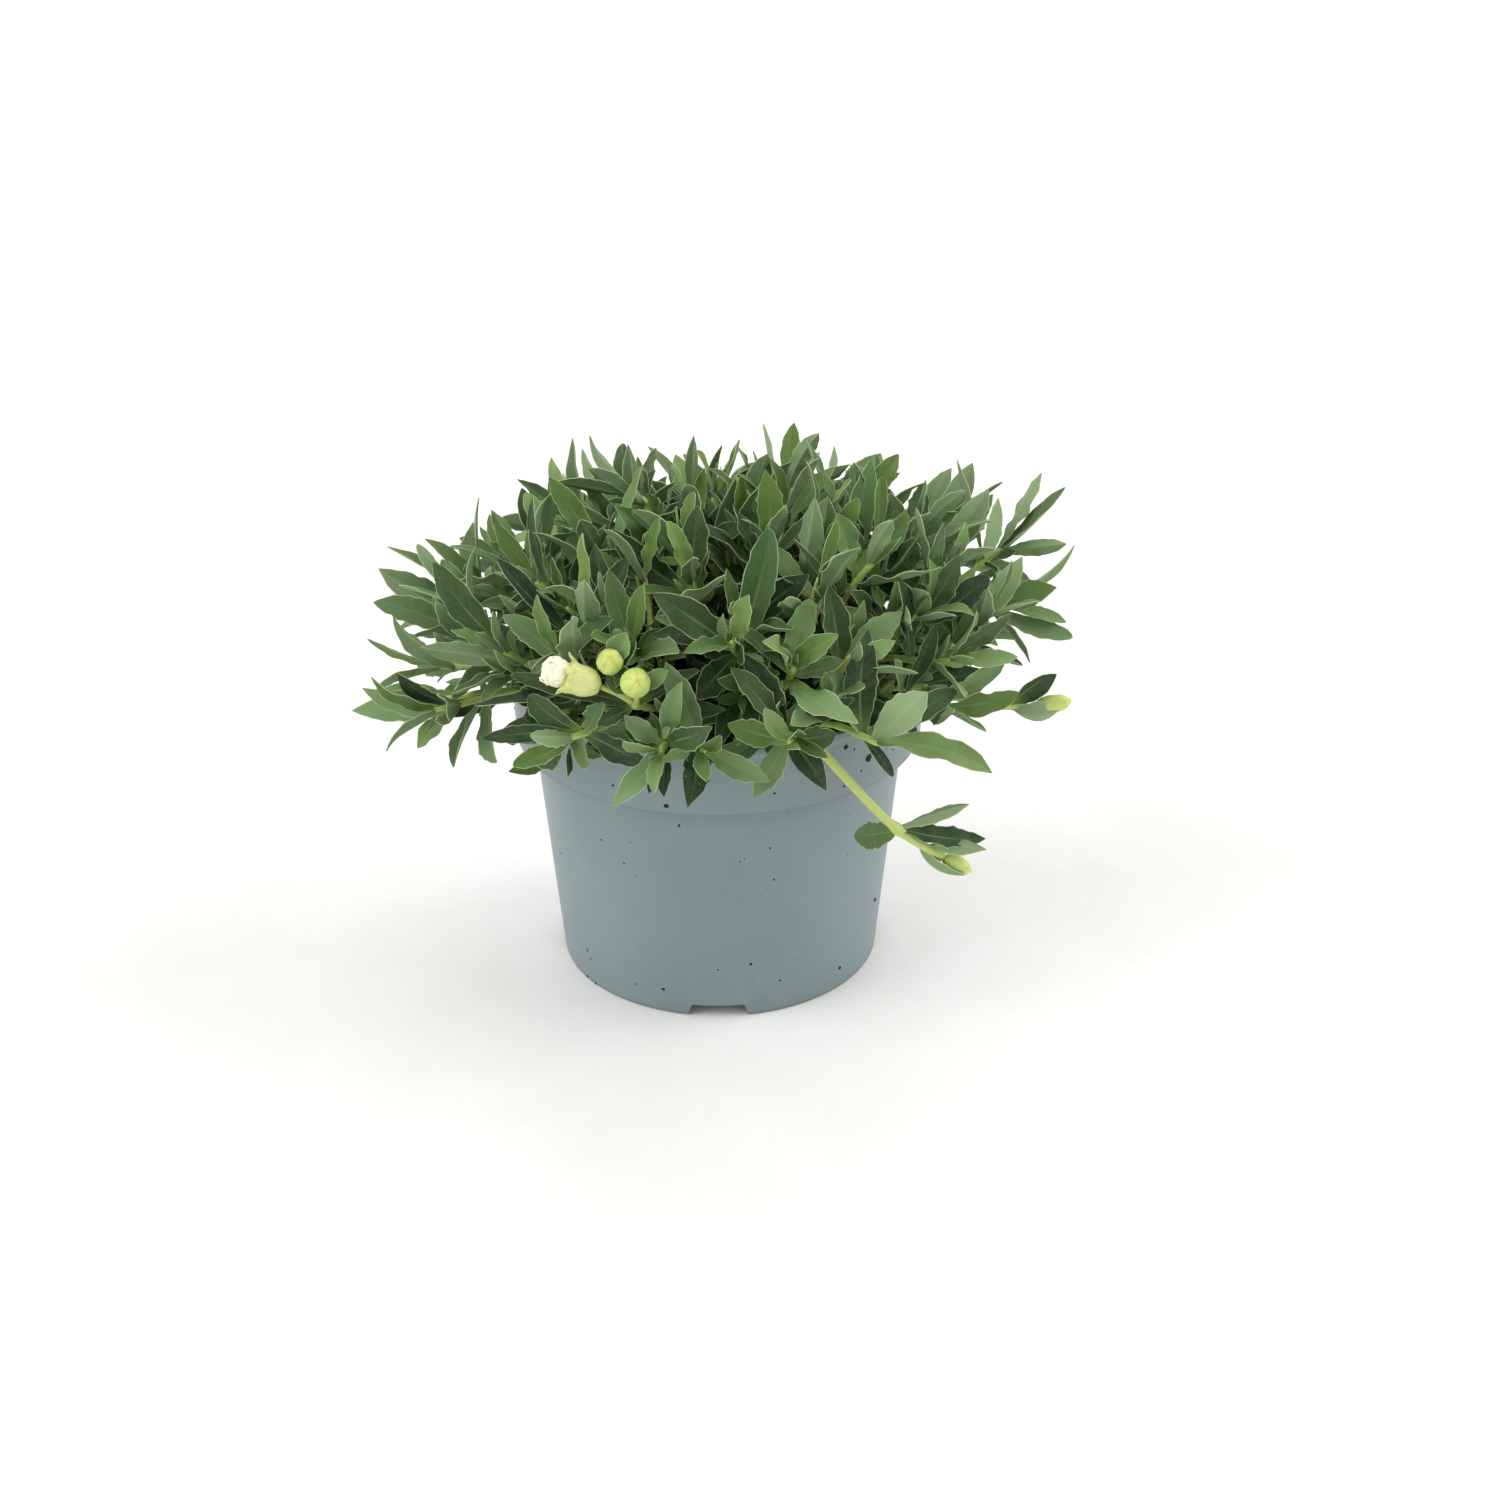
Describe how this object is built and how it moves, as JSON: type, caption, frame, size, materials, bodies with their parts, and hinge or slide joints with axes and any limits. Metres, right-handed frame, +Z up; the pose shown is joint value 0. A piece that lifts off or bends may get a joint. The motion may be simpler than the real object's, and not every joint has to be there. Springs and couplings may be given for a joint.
{
  "type": "potted flowering plant",
  "caption": "Round nursery pot filled with soil, holding a low dome of leafy sea campion stems with paired lance-shaped leaves, buds and a furled flower",
  "frame": {"origin": "On the surface that the pot stands on, at the pot's axis, which is the middle of the whole plant's box to within 1.5 mm", "axes": "+Z up along the pot's axis, +X to the right and -Y towards the viewer as in the picture"},
  "size_m": [0.2183, 0.1952, 0.1666],
  "materials": {
    "pot": "matte",
    "soil": "matte",
    "foliage": "matte",
    "calyx": "satin",
    "petals": "matte"
  },
  "bodies": {
    "root": {"flower_calyx": "calyx", "flowering_stem": "foliage", "furled_petals": "petals", "leafy_stem_01": "foliage", "leafy_stem_02": "foliage", "leafy_stem_03": "foliage", "leafy_stem_04": "foliage", "leafy_stem_05": "foliage", "leafy_stem_06": "foliage", "leafy_stem_07": "foliage", "leafy_stem_08": "foliage", "leafy_stem_09": "foliage", "leafy_stem_10": "foliage", "leafy_stem_11": "foliage", "leafy_stem_12": "foliage", "leafy_stem_13": "foliage", "leafy_stem_14": "foliage", "leafy_stem_15": "foliage", "leafy_stem_16": "foliage", "leafy_stem_17": "foliage", "leafy_stem_18": "foliage", "leafy_stem_19": "foliage", "leafy_stem_20": "foliage", "leafy_stem_21": "foliage", "leafy_stem_22": "foliage", "leafy_stem_23": "foliage", "leafy_stem_24": "foliage", "leafy_stem_25": "foliage", "leafy_stem_26": "foliage", "leafy_stem_27": "foliage", "leafy_stem_28": "foliage", "leafy_stem_29": "foliage", "leafy_stem_30": "foliage", "leafy_stem_31": "foliage", "leafy_stem_32": "foliage", "leafy_stem_33": "foliage", "leafy_stem_34": "foliage", "leafy_stem_35": "foliage", "leafy_stem_36": "foliage", "leafy_stem_37": "foliage", "leafy_stem_38": "foliage", "pot": "pot", "right_bud": "calyx", "right_bud_stem": "foliage", "round_bud_lower": "calyx", "round_bud_upper": "calyx", "soil": "soil", "trailing_bud": "calyx", "trailing_stem": "foliage"}
  },
  "joints": []
}
